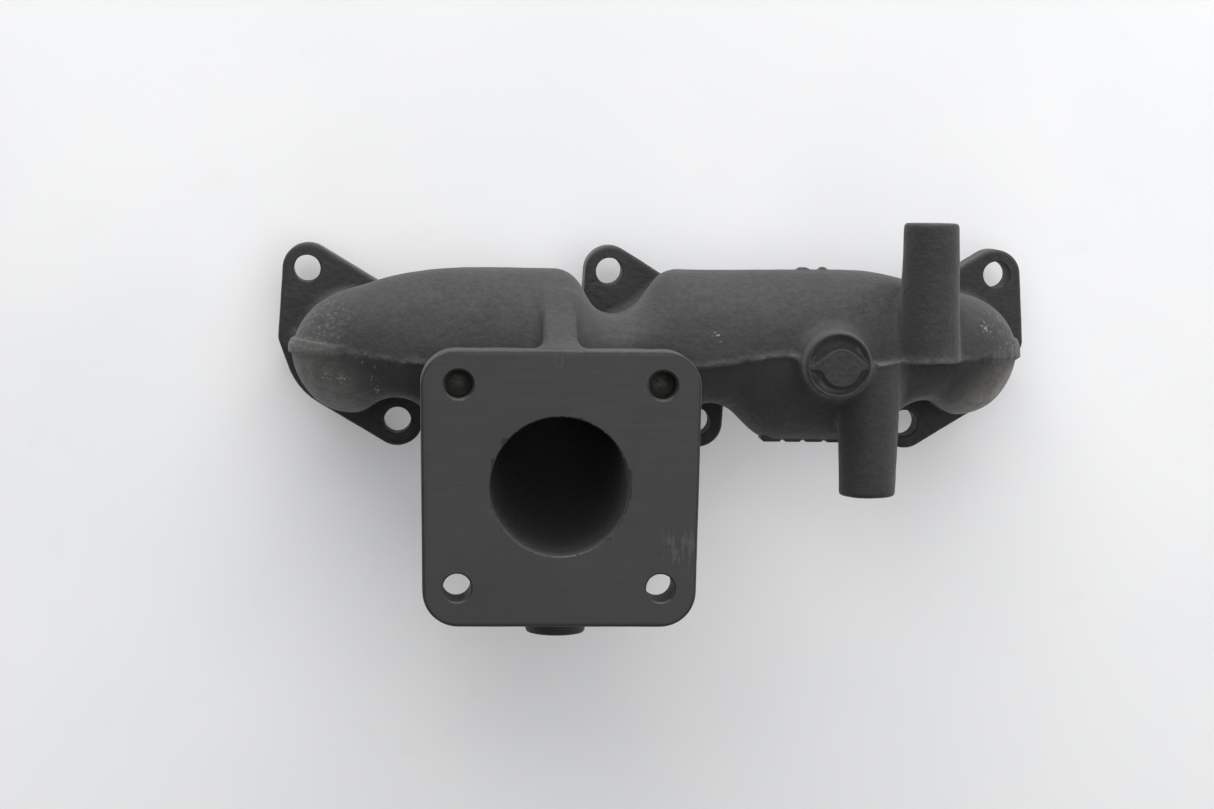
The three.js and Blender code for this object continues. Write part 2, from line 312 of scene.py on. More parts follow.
def build_casting():
    bumpy = 0.10 * noise(9.0, 3) + 0.05 * noise(3.6, 5)
    branch = np.full(tuple(N), 60.0, np.float32)
    add(branch, bend(OUT_PIPE_R), 0, (-66, None, None), (0, 34, None))

    line = yp(AX[0])[:, None, None]
    halves = []
    for upper in (True, False):
        f = log_half(X, Y, Z, upper)
        necks = np.full(tuple(N), 60.0, np.float32)
        for (px, _), (dx, y_up, y_low, r_up, r_low, top) in zip(PORTS, NECKS):
            add(necks, neck(px + dx, y_up if upper else y_low, r_up if upper else r_low, top), 0, (px - 30, -32, None), (px + 30, 32, 56))
        f = join(f, necks, 5.0)
        f = join(f, branch, 7.0)
        # round hollows for the nuts
        for cx, cy, r, edge in HOLLOWS:
            if upper != (cy > 0):
                continue
            take(f, tube_z(cx, cy, r), edge, (cx - 26, cy - 26, None), (cx + 26, cy + 26, None))
        if upper:
            p = UPPER_POST
            add(f, post(p, True), 2.2, (p["x"] - 16, -4, p["z"] - 16), (p["x"] + 16, None, p["z"] + 14))
        else:
            p = LOWER_POST
            add(f, post(p, False), 3.0, (p["x"] - 16, p["end"] - 4, p["z"] - 16), (p["x"] + 16, 3, p["z"] + 14))
        f = f + bumpy
        # each half stops on the parting line
        f = np.maximum(f, (line - Y) if upper else (Y - line))
        halves.append(f)
    f = np.minimum(halves[0], halves[1])
    whole = f.copy()

    # flash along the parting line, and a ground band at each end of the log
    thick = 0.42
    strength = table(AX[0], [(-112, 0), (-100, 0), (-84, 0.2), (-66, 0.45), (14, 0.3), (26, 0.45), (60, 0.4), (72, 0.35), (100, 0.3), (112, 0.2)])
    fin = (strength * (0.65 + 0.5 * ripple(AX[0] + 3.1, 1.9))).astype(np.float32)[:, None, None]
    flash = np.maximum(np.minimum(halves[0], whole) - fin, np.abs(Y - line) - thick)
    f = np.minimum(f, flash)
    for (x0, x1), rows_hi, rows_lo, out_rows in (
        ((-116, -94), *BANDS[0], [(-114, 1.6), (-111, 1.1), (-104, 0.7), (-96.6, 0.4)]),
        ((96, 115), *BANDS[1], [(96, 0.4), (104, 0.7), (108.5, 1.0), (111, 1.3)]),
    ):
        sl = part((x0, -8, 12), (x1, 12, 60))
        x, y, z = at(sl)
        hi, lo = table(x, rows_hi, False).astype(np.float32), table(x, rows_lo, False).astype(np.float32)
        outer = table(x, out_rows).astype(np.float32)
        ends = (x + 96.7) if x0 < 0 else (97.5 - x)
        band = both(whole[sl] - outer, np.maximum(np.maximum(y - hi, lo - y), ends), 0.15)
        f[sl] = np.minimum(f[sl], band)

    # gate boss
    g = GATE
    boss = lambda x, y, z: np.maximum(np.sqrt((x - g["x"]) ** 2 + (y - g["y"]) ** 2) - g["r"] - 0.3 - 0.04 * np.maximum(g["z"] - z, 0), z - g["z"] - 0.8 + 0 * x)
    add(f, boss, 3.2, (g["x"] - 20, g["y"] - 20, 40), (g["x"] + 20, g["y"] + 20, 72))

    # rib
    side = [(16.5, 38), (18.4, 49.6), (3.15, 75.5), (-8, 75.5), (-8, 38)]
    sl = part((RIB_X - 14, -14, 36), (RIB_X + 14, 30, 84))
    x, y, z = at(sl)
    rib = both(polygon(y, z, side), np.abs(x - RIB_X) - RIB_HALF, 0.8)
    f[sl] = join(f[sl], rib, 2.8)

    # elbow boss
    p = ELBOW_BOSS
    add(f, post(p, False), 3.0, (p["x"] - 16, p["end"] - 3, p["z"] - 16), (p["x"] + 16, -40, p["z"] + 15))

    # flanges
    sl = part((OUT_X - 50, None, 56), (OUT_X + 50, 14, None))
    x, y, z = at(sl)
    d2 = polygon(X2[sl[0]], Y2[:, sl[1]], OUT_OUTLINE)[:, :, None]
    plate = both(d2 + 0 * z, (OUT_Z - OUT_T) - z + 0 * d2, 1.3) + 0.6 * bumpy[sl]
    plate = np.maximum(plate, z - OUT_Z - 2.0)
    f[sl] = join(f[sl], plate, 3.2)
    for i, (px, _) in enumerate(PORTS):
        sl = part((px - 34, -42, None), (px + 34, 42, 24))
        x, y, z = at(sl)
        d2 = polygon(X2[sl[0]], Y2[:, sl[1]], head_outline(i))[:, :, None]
        plate = both(d2 + 0 * z, z - HEAD_T + 0 * d2, 1.1) + 0.7 * bumpy[sl]
        plate = np.maximum(plate, -z - 2.0)
        f[sl] = join(f[sl], plate, 4.0 if i == 1 else 2.6)

    # raised bars
    for x0, x1, y0, y1, tall in BARS:
        bar = lambda x, y, z: both(both(np.maximum(x0 - x, x - x1), np.maximum(y0 - y, y - y1), 0.5), np.abs(z - 34.0) - tall, 0.5)
        add(f, bar, 0.5, (x0 - 3, y0 - 3, 26), (x1 + 3, y1 + 3, 42))

    # gas passages
    inner = np.maximum(log_half(X, Y, Z, True), log_half(X, Y, Z, False)) + WALL
    for px, _ in PORTS:
        add(inner, neck(px, 0, PORT_R, 26.0), 3.0, (px - 22, -22, None), (px + 22, 22, 46))
    for cx, cy, r, _ in HOLLOWS:
        take(inner, tube_z(cx, cy, max(r, 11.2), 3.4), 2.0, (cx - 24, cy - 24, 6), (cx + 24, cy + 24, None))
    add(inner, bend(OUT_BORE_R), 4.0, (-62, -62, None), (-4, 26, None))
    for cx, cy, r, _ in HOLLOWS[3:4]:
        take(inner, tube_z(cx, cy, r, 3.4), 1.0, (cx - 24, cy - 24, 6), (cx + 24, cy + 24, None))
    for px, _ in PORTS:
        add(inner, tube_z(px, 0, PORT_R - 0.3), 0, (px - 18, -18, None), (px + 18, 18, 12))
    f = cut(f, inner, 0.8)
    return f


BARS = [
    (31.6, 37.6, -27.3, -23.5, 5.0),
    (38.7, 43.9, -27.35, -23.5, 5.0),
    (45.0, 50.5, -27.35, -23.5, 5.0),
    (51.6, 57.5, -27.45, -23.5, 5.0),
    (42.3, 45.7, 23.5, 26.5, 2.6),
    (49.0, 51.2, 23.5, 26.7, 2.6),
]


# ------------------------------------------------------------------ meshes
def mesh_object(name, verts, faces):
    me = bpy.data.meshes.new(name)
    verts, faces = np.asarray(verts, np.float32), np.asarray(faces)
    if faces.ndim == 2:
        n, k = faces.shape
        me.vertices.add(len(verts))
        me.vertices.foreach_set("co", verts.ravel())
        me.loops.add(n * k)
        me.loops.foreach_set("vertex_index", faces.astype(np.int32).ravel())
        me.polygons.add(n)
        me.polygons.foreach_set("loop_start", np.arange(0, n * k, k, dtype=np.int32))
        me.update(calc_edges=True)
    else:
        me.from_pydata(verts.tolist(), [], [list(q) for q in faces])
    me.validate()
    o = bpy.data.objects.new(name, me)
    bpy.context.scene.collection.objects.link(o)
    return o


def lathe(cx, cy, rows, n=64):
    """Verts and faces of a closed turned shape about a z axis; rows are (radius, z), first and last on the axis side."""
    v, q = [], []
    for r, z in rows:
        v += [(cx + r * math.cos(2 * math.pi * i / n), cy + r * math.sin(2 * math.pi * i / n), z) for i in range(n)]
    for k in range(len(rows) - 1):
        for i in range(n):
            j = (i + 1) % n
            q.append((k * n + i, k * n + j, (k + 1) * n + j, (k + 1) * n + i))
    bottom, top = len(v), len(v) + 1
    v += [(cx, cy, rows[0][1]), (cx, cy, rows[-1][1])]
    for i in range(n):
        j = (i + 1) % n
        q.append((bottom, j, i))
        k = (len(rows) - 1) * n
        q.append((top, k + i, k + j))
    return v, q


def loft(rings, strip=False):
    """A closed shape through rings of the same number of points, lowest first. A strip's ends are closed by quads across it."""
    v, q = [], []
    n = len(rings[0])
    for ring in rings:
        v += list(ring)
    for k in range(len(rings) - 1):
        for i in range(n):
            j = (i + 1) % n
            q.append((k * n + i, k * n + j, (k + 1) * n + j, (k + 1) * n + i))
    last = (len(rings) - 1) * n
    if strip:
        for i in range(n // 2 - 1):
            a, b = i, n - 1 - i
            q.append((a, b, b - 1, a + 1))
            q.append((last + a, last + a + 1, last + b - 1, last + b))
        return v, q
    q.append(tuple(range(n))[::-1])
    q.append(tuple(last + i for i in range(n)))
    return v, q


def box_faces(x0, x1, y0, y1, z0, z1):
    return loft([[(x0, y0, z), (x1, y0, z), (x1, y1, z), (x0, y1, z)] for z in (z0, z1)])


def slab(x0, x1, y0, y1, z, far, step):
    """A closed block from z to far, whose face at z is a grid, so that what it planes is small even faces."""
    nx, ny = max(1, round((x1 - x0) / step)), max(1, round((y1 - y0) / step))
    v = [(x0 + (x1 - x0) * i / nx, y0 + (y1 - y0) * j / ny, z) for j in range(ny + 1) for i in range(nx + 1)]
    at_ = lambda i, j: j * (nx + 1) + i
    c = len(v)
    v += [(x0, y0, far), (x1, y0, far), (x1, y1, far), (x0, y1, far)]
    q = [(at_(i, j), at_(i + 1, j), at_(i + 1, j + 1), at_(i, j + 1)) for j in range(ny) for i in range(nx)]
    q.append((c + 3, c + 2, c + 1, c))
    q.append(tuple(at_(i, 0) for i in range(nx, -1, -1)) + (c, c + 1))
    q.append(tuple(at_(nx, j) for j in range(ny, -1, -1)) + (c + 1, c + 2))
    q.append(tuple(at_(i, ny) for i in range(nx + 1)) + (c + 2, c + 3))
    q.append(tuple(at_(0, j) for j in range(ny + 1)) + (c + 3, c))
    if far > z:
        q = [f[::-1] for f in q]
    return v, q


def combined(name, shapes):
    v, q = [], []
    for a, b in shapes:
        k = len(v)
        v += a
        q += [tuple(i + k for i in f) for f in b]
    me = bpy.data.meshes.new(name)
    me.from_pydata(v, [], q)
    me.validate()
    o = bpy.data.objects.new(name, me)
    bpy.context.scene.collection.objects.link(o)
    return o


def boolean(o, tool, operation="DIFFERENCE", solver="MANIFOLD"):
    m = o.modifiers.new("b", "BOOLEAN")
    m.operation, m.object = operation, tool
    m.solver = solver
    dg = bpy.context.evaluated_depsgraph_get()
    made = bpy.data.meshes.new_from_object(o.evaluated_get(dg))
    o.modifiers.clear()
    old = o.data
    o.data = made
    bpy.data.meshes.remove(old)
    bpy.data.objects.remove(tool)


def offset_outline(circles, d):
    return hull_of([(x, y, max(r + d, 0.5)) for x, y, r in circles])


OUT_CIRCLES = [(-63.55, -7.35, 10.5), (-1.95, -7.35, 10.5), (-62.55, -67.85, 10.5), (-2.85, -67.85, 10.5)]


def outlet_edge_tool():
    """A frame that shapes the outlet flange's outer edge."""
    rows = [(2.5, OUT_Z - 12), (2.5, OUT_Z - 5), (0.35, OUT_Z - 1.05), (0.02, OUT_Z - 0.80), (-0.08, OUT_Z - 0.50), (-0.26, OUT_Z - 0.24), (-0.50, OUT_Z - 0.07), (-0.80, OUT_Z), (-1.6, OUT_Z + 4)]
    rings = [[(x, y, z) for x, y in offset_outline(OUT_CIRCLES, d)] for d, z in rows]
    n = min(len(r) for r in rings)
    rings = [[r[int(i * len(r) / n)] for i in range(n)] for r in rings]
    keep = combined("keep", [loft(rings)])
    block = combined("block", [box_faces(-95, 30, -95, 20, OUT_Z - 4.5, OUT_Z + 3)])
    boolean(block, keep)
    return block


def gate_tools():
    """A ring that turns the gate boss to size, and the two hollow crescents in its face with the nub between them."""
    g, z = GATE, GATE["z"]
    top = [(g["r"] + 2.2, z - 3.0), (g["r"] + 0.55, z - 1.5), (g["r"] + 0.12, z - 0.8), (g["r"] + 0.02, z - 0.3), (g["r"] - 0.08, z - 0.08), (g["r"] - 0.22, z), (g["r"] - 1.2, z + 4)]
    keep = combined("keep", [lathe(g["x"], g["y"], [(g["r"] + 3.5, z - 6)] + top, 96)])
    ring = combined("ring", [box_faces(g["x"] - 13.5, g["x"] + 13.5, g["y"] - 13.5, g["y"] + 13.5, z - 2.6, z + 3)])
    boolean(ring, keep)
    flat = combined("flat", [slab(g["x"] - 13.5, g["x"] + 13.5, g["y"] - 13.5, g["y"] + 13.5, z, z + 6, 2.0)])
    cy = g["y"] - 0.7
    py = np.linspace(0, 10, 2400)
    shapes = []
    for sign in (1, -1):
        rings = []
        for depth, inset in ((1.75, 1.9), (1.55, 1.2), (1.1, 0.6), (0.5, 0.2), (0.0, 0.0), (-1.5, -0.35)):
            outer = g["r"] - 0.5 - inset
            nub, bar, soft = 5.55 + inset, 0.45 + inset * 0.7, 4.5 if sign > 0 else 1.6
            low, high = [], []
            for u in np.linspace(-1, 1, 61):
                px = u * (outer - 0.15)
                dx = px - 0.8
                eye = join(np.sqrt(dx * dx + py * py) - nub + (0.25 if sign > 0 else 0.0), py - bar, soft)
                h = float(py[np.argmax(eye > 0)])
                arc = math.sqrt(max(outer * outer - px * px, 0)) + (0.7 if sign > 0 else -0.7)
                low.append((px, h))
                high.append((px, max(arc, h + 0.04)))
            outline = low + high[::-1]
            if sign < 0:
                outline = [(a, -b) for a, b in outline][::-1]
            rings.append([(g["x"] + a, cy + b, z - depth) for a, b in outline])
        shapes.append(loft(rings, strip=True))
    return ring, flat, combined("grooves", shapes)


def drilled_tools():
    shapes = []
    for px, _ in PORTS:
        shapes.append(lathe(px, 0, [(PORT_R + 0.6, -3.0), (PORT_R + 0.5, -0.001), (PORT_R, 0.5), (PORT_R, 11.0), (PORT_R - 0.8, 11.8)], 96))
    for cx, cy, _ in STUDS:
        shapes.append(lathe(cx, cy, [(STUD_R + 0.6, -3.0), (STUD_R + 0.5, -0.001), (STUD_R, 0.5), (STUD_R, HEAD_T - 0.35), (STUD_R + 0.45, HEAD_T + 0.25), (STUD_R + 0.5, HEAD_T + 2.5)], 48))
    shapes.append(lathe(OUT_X, OUT_Y, [(OUT_BORE_R - 0.3, OUT_Z - OUT_T - 1), (OUT_BORE_R, OUT_Z - OUT_T), (OUT_BORE_R, OUT_Z - 0.35), (OUT_BORE_R + 0.4, OUT_Z + 0.05), (OUT_BORE_R + 0.5, OUT_Z + 3)], 128))
    for s in (-1, 1):
        shapes.append(lathe(OUT_X + s * OUT_HALF, OUT_Y - OUT_HALF, [(OUT_HOLE_R + 0.4, OUT_Z - OUT_T - 8), (OUT_HOLE_R, OUT_Z - OUT_T - 3), (OUT_HOLE_R, OUT_Z - 0.45), (OUT_HOLE_R + 0.5, OUT_Z + 0.05), (OUT_HOLE_R + 0.6, OUT_Z + 3)], 48))
        # blind and threaded: a drill point, then rings of thread up to a countersink
        rows = [(0.05, OUT_Z - 12.9), (OUT_HOLE_R - 0.15, OUT_Z - 11.2), (OUT_HOLE_R - 0.15, OUT_Z - 10.4)]
        z = OUT_Z - 10.2
        while z < OUT_Z - 1.7:
            rows += [(OUT_HOLE_R - 0.12, z), (OUT_HOLE_R + 0.45, z + 0.62)]
            z += 1.25
        rows += [(OUT_HOLE_R - 0.1, OUT_Z - 0.75), (OUT_HOLE_R + 0.6, OUT_Z + 0.02), (OUT_HOLE_R + 0.7, OUT_Z + 3)]
        shapes.append(lathe(OUT_X + s * OUT_HALF, OUT_Y + OUT_HALF, rows, 40))
    return combined("drills", shapes)


def to_row_frame(o):
    me = o.data
    co = np.empty(len(me.vertices) * 3, np.float32)
    me.vertices.foreach_get("co", co)
    co = co.reshape(-1, 3)
    co[:, 1] += PORT_LINE_Y
    co *= 0.001
    for i in range(3):
        co[:, i] = np.clip(co[:, i], cad_box[0][i], cad_box[1][i])
    me.vertices.foreach_set("co", co.ravel())
    me.update()


field = build_casting()
grid = openvdb.FloatGrid()
grid.background = 3.0
grid.copyFromArray(np.clip(field, -3, 3).astype(np.float32), tolerance=0)
pts, tris, quads = grid.convertToPolygons(isovalue=0.0, adaptivity=0.0)
pts = np.asarray(pts) * CELL + LO
casting = mesh_object("manifold_casting", pts, np.asarray(quads)[:, ::-1])


def tidy(o):
    """Drops loose scraps, so that one closed body is left."""
    bm = bmesh.new()
    bm.from_mesh(o.data)
    bm.faces.ensure_lookup_table()
    seen, groups = set(), []
    for f in bm.faces:
        if f.index in seen:
            continue
        stack, group = [f], []
        seen.add(f.index)
        while stack:
            a = stack.pop()
            group.append(a)
            for e in a.edges:
                for b in e.link_faces:
                    if b.index not in seen:
                        seen.add(b.index)
                        stack.append(b)
        groups.append(group)
    groups.sort(key=len, reverse=True)
    for g in groups[1:]:
        bmesh.ops.delete(bm, geom=g, context="FACES")
    bm.to_mesh(o.data)
    bm.free()


tidy(casting)
count = sum(len(p.vertices) - 2 for p in casting.data.polygons)
if count > TRIS:
    m = casting.modifiers.new("d", "DECIMATE")
    m.ratio = (TRIS - 9000) / count
    dg = bpy.context.evaluated_depsgraph_get()
    made = bpy.data.meshes.new_from_object(casting.evaluated_get(dg))
    casting.modifiers.clear()
    casting.data = made
boolean(casting, outlet_edge_tool())
boolean(casting, combined("outlet_plane", [slab(-95, 30, -95, 20, OUT_Z, OUT_Z + 9, 3.0)]))
boolean(casting, combined("head_plane", [slab(-135, 135, -60, 60, 0.0, -30.0, 3.0)]))
boolean(casting, drilled_tools())
for tool in gate_tools():
    boolean(casting, tool)
tidy(casting)  # the booleans leave scraps
to_row_frame(casting)


# ------------------------------------------------------------------ which faces are machined, and how convex the skin is
def classify(o):
    me = o.data
    n = len(me.polygons)
    c = np.empty(n * 3, np.float32)
    me.polygons.foreach_get("center", c)
    nn = np.empty(n * 3, np.float32)
    me.polygons.foreach_get("normal", nn)
    c, nn = c.reshape(-1, 3) * 1000, -nn.reshape(-1, 3)  # the faces still look inward
    c[:, 1] -= PORT_LINE_Y
    idx = np.zeros(n, np.int32)
    idx[(np.abs(c[:, 2] - OUT_Z) < 0.02) & (nn[:, 2] > 0.99)] = 1
    idx[(np.abs(c[:, 2]) < 0.02) & (nn[:, 2] < -0.99)] = 1
    for px, _ in PORTS:
        r = np.hypot(c[:, 0] - px, c[:, 1])
        idx[(np.abs(r - PORT_R) < 0.7) & (c[:, 2] < 11.2) & (c[:, 2] > 0.01)] = 2
    for cx, cy, _ in STUDS:
        r = np.hypot(c[:, 0] - cx, c[:, 1] - cy)
        idx[(r < STUD_R + 0.6) & (c[:, 2] < 12.6) & (c[:, 2] > 0.01)] = 2
    r = np.hypot(c[:, 0] - OUT_X, c[:, 1] - OUT_Y)
    idx[(np.abs(r - OUT_BORE_R) < 0.5) & (c[:, 2] > OUT_Z - OUT_T) & (c[:, 2] < OUT_Z - 0.01) & (np.abs(nn[:, 2]) < 0.9) & (c[:, 2] > OUT_Z - 0.5)] = 2
    for sx in (-1, 1):
        for sy in (-1, 1):
            r = np.hypot(c[:, 0] - OUT_X - sx * OUT_HALF, c[:, 1] - OUT_Y - sy * OUT_HALF)
            idx[(r < OUT_HOLE_R + 1.3) & (c[:, 2] > OUT_Z - OUT_T - 0.5) & (c[:, 2] < OUT_Z - 0.01)] = 2
    idx[(c[:, 2] > OUT_Z - 0.5) & (nn[:, 2] > 0.995)] = 1
    me.polygons.foreach_set("material_index", idx)


def convexity(o):
    """Per vertex, while the faces still look inward: below 0 on outer edges, above 0 in corners."""
    me = o.data
    nv, ne = len(me.vertices), len(me.edges)
    co = np.empty(nv * 3, np.float32)
    me.vertices.foreach_get("co", co)
    co = co.reshape(-1, 3).astype(float) * 1000
    e = np.empty(ne * 2, np.int32)
    me.edges.foreach_get("vertices", e)
    e = e.reshape(-1, 2)
    nrm = np.empty(nv * 3, np.float32)
    me.vertices.foreach_get("normal", nrm)
    nrm = nrm.reshape(-1, 3)
    d = co[e[:, 1]] - co[e[:, 0]]
    ln2 = (d**2).sum(1) + 1e-6
    k0 = (d * nrm[e[:, 0]]).sum(1) / ln2
    k1 = -(d * nrm[e[:, 1]]).sum(1) / ln2
    w = np.zeros(nv)
    s = np.zeros(nv)
    np.add.at(s, e[:, 0], -2 * k0)
    np.add.at(s, e[:, 1], -2 * k1)
    np.add.at(w, e[:, 0], 1)
    np.add.at(w, e[:, 1], 1)
    k = np.clip(s / np.maximum(w, 1), -2, 2)
    for _ in range(2):  # spread it a little
        s = k.copy()
        w = np.ones(nv)
        np.add.at(s, e[:, 0], k[e[:, 1]])
        np.add.at(s, e[:, 1], k[e[:, 0]])
        np.add.at(w, e[:, 0], 1)
        np.add.at(w, e[:, 1], 1)
        k = s / w
    a = me.attributes.get("edge") or me.attributes.new("edge", "FLOAT", "POINT")
    a.data.foreach_set("value", k.astype(np.float32))


def marks(o):
    """Per vertex: "inside" is 1 in the gas passages, and "seam" is 1 along the flash of the parting line."""
    me = o.data
    co = np.empty(len(me.vertices) * 3, np.float32)
    me.vertices.foreach_get("co", co)
    co = co.reshape(-1, 3).astype(float) * 1000
    x, y, z = co[:, 0], co[:, 1] - PORT_LINE_Y, co[:, 2]
    inside = bend(OUT_BORE_R + 1.5)(x, y, z) < 0
    inside &= z < OUT_Z - 0.2
    deep = np.maximum(log_half(x, y, z, True), log_half(x, y, z, False)) < -3.2
    for cx, cy, r, edge in HOLLOWS:
        deep &= np.hypot(x - cx, y - cy) > r + 0.6 * edge + 1.0
    for px, _ in PORTS:
        inside |= (np.hypot(x - px, y) < PORT_R + 0.5) & (z > 0.3) & (z < 18)
    inside |= deep & (z > 10)
    above = y - yp(x)
    seam = np.clip(1.6 - np.abs(above - 0.7), 0, 1) * np.clip((z - 34) / 6, 0, 1) * (z < 68) * (np.abs(x) < 96) * (np.hypot(x - GATE["x"], y - GATE["y"]) > GATE["r"] + 0.5)
    for name, value in (("inside", inside), ("seam", seam)):
        a = me.attributes.get(name) or me.attributes.new(name, "FLOAT", "POINT")
        a.data.foreach_set("value", np.asarray(value, np.float32))


# ------------------------------------------------------------------ materials
class Nodes:
    def __init__(self, name):
        self.m = bpy.data.materials.new(name)
        self.m.use_nodes = True
        self.t = self.m.node_tree
        self.t.nodes.clear()
        self.out = self.t.nodes.new("ShaderNodeOutputMaterial")
        self.b = self.t.nodes.new("ShaderNodeBsdfPrincipled")
        self.t.links.new(self.b.outputs[0], self.out.inputs[0])
        self.pos = self.t.nodes.new("ShaderNodeTexCoord").outputs["Object"]

    def link(self, a, b):
        self.t.links.new(a, b)

    def put(self, socket, value):
        if isinstance(value, bpy.types.NodeSocket):
            self.link(value, socket)
        else:
            socket.default_value = value

    def math(self, op, a, b=0.0, c=0.0, clamp=False):
        n = self.t.nodes.new("ShaderNodeMath")
        n.operation, n.use_clamp = op, clamp
        for s, v in zip(n.inputs, (a, b, c)):
            self.put(s, v)
        return n.outputs[0]

    def noise(self, scale, detail=3.0, rough=0.55, vec=None, distort=0.0):
        n = self.t.nodes.new("ShaderNodeTexNoise")
        n.inputs["Scale"].default_value = scale
        n.inputs["Detail"].default_value = detail
        n.inputs["Roughness"].default_value = rough
        n.inputs["Distortion"].default_value = distort
        self.link(vec or self.pos, n.inputs["Vector"])
        return n.outputs["Fac"]

    def ramp(self, x, a, b, lo=0.0, hi=1.0):
        n = self.t.nodes.new("ShaderNodeMapRange")
        n.interpolation_type = "SMOOTHSTEP"
        n.inputs["From Min"].default_value, n.inputs["From Max"].default_value = a, b
        n.inputs["To Min"].default_value, n.inputs["To Max"].default_value = lo, hi
        self.link(x, n.inputs["Value"])
        return n.outputs[0]

    def mix(self, fac, a, b):
        n = self.t.nodes.new("ShaderNodeMix")
        n.data_type = "RGBA"
        self.put(n.inputs[0], fac)
        self.put(n.inputs[6], a if isinstance(a, bpy.types.NodeSocket) else (*a, 1))
        self.put(n.inputs[7], b if isinstance(b, bpy.types.NodeSocket) else (*b, 1))
        return n.outputs[2]

    def attribute(self, name):
        n = self.t.nodes.new("ShaderNodeAttribute")
        n.attribute_name = name
        return n.outputs["Fac"]

    def voronoi(self, scale, feature="F1"):
        n = self.t.nodes.new("ShaderNodeTexVoronoi")
        n.feature = feature
        n.inputs["Scale"].default_value = scale
        self.link(self.pos, n.inputs["Vector"])
        return n.outputs["Distance"]

    def stretched(self, sx, sy, sz):
        n = self.t.nodes.new("ShaderNodeMapping")
        n.inputs["Scale"].default_value = (sx, sy, sz)
        self.link(self.pos, n.inputs["Vector"])
        return n.outputs[0]

    def split(self):
        n = self.t.nodes.new("ShaderNodeSeparateXYZ")
        self.link(self.pos, n.inputs[0])
        return n.outputs[0], n.outputs[1], n.outputs[2]

    def near(self, x, y, z, r0, r1):
        """1 within r0 millimetres of a point, fading to 0 at r1."""
        n = self.t.nodes.new("ShaderNodeVectorMath")
        n.operation = "DISTANCE"
        self.link(self.pos, n.inputs[0])
        n.inputs[1].default_value = (x / 1000, (y + PORT_LINE_Y) / 1000, z / 1000)
        return self.ramp(n.outputs["Value"], r0 / 1000, r1 / 1000, 1.0, 0.0)

    def bump(self, height, distance, strength=1.0, after=None):
        n = self.t.nodes.new("ShaderNodeBump")
        n.inputs["Distance"].default_value = distance
        n.inputs["Strength"].default_value = strength
        self.link(height, n.inputs["Height"])
        if after:
            self.link(after, n.inputs["Normal"])
        return n.outputs[0]


# where pale dust is caught in the skin: x, y, z, radius
DUST = [
    (-101.5, -6.8, 45, 3.4),
    (-92.0, -1.4, 54, 3.0),
    (-87.5, -8.6, 50, 3.0),
    (-86.8, -12.0, 48, 2.6),
    (-88.0, -4.2, 54, 1.6),
    (94.5, 11.5, 50, 2.4),
    (99.8, 9.5, 47, 3.2),
    (15.5, 6.2, 57, 2.4),
]


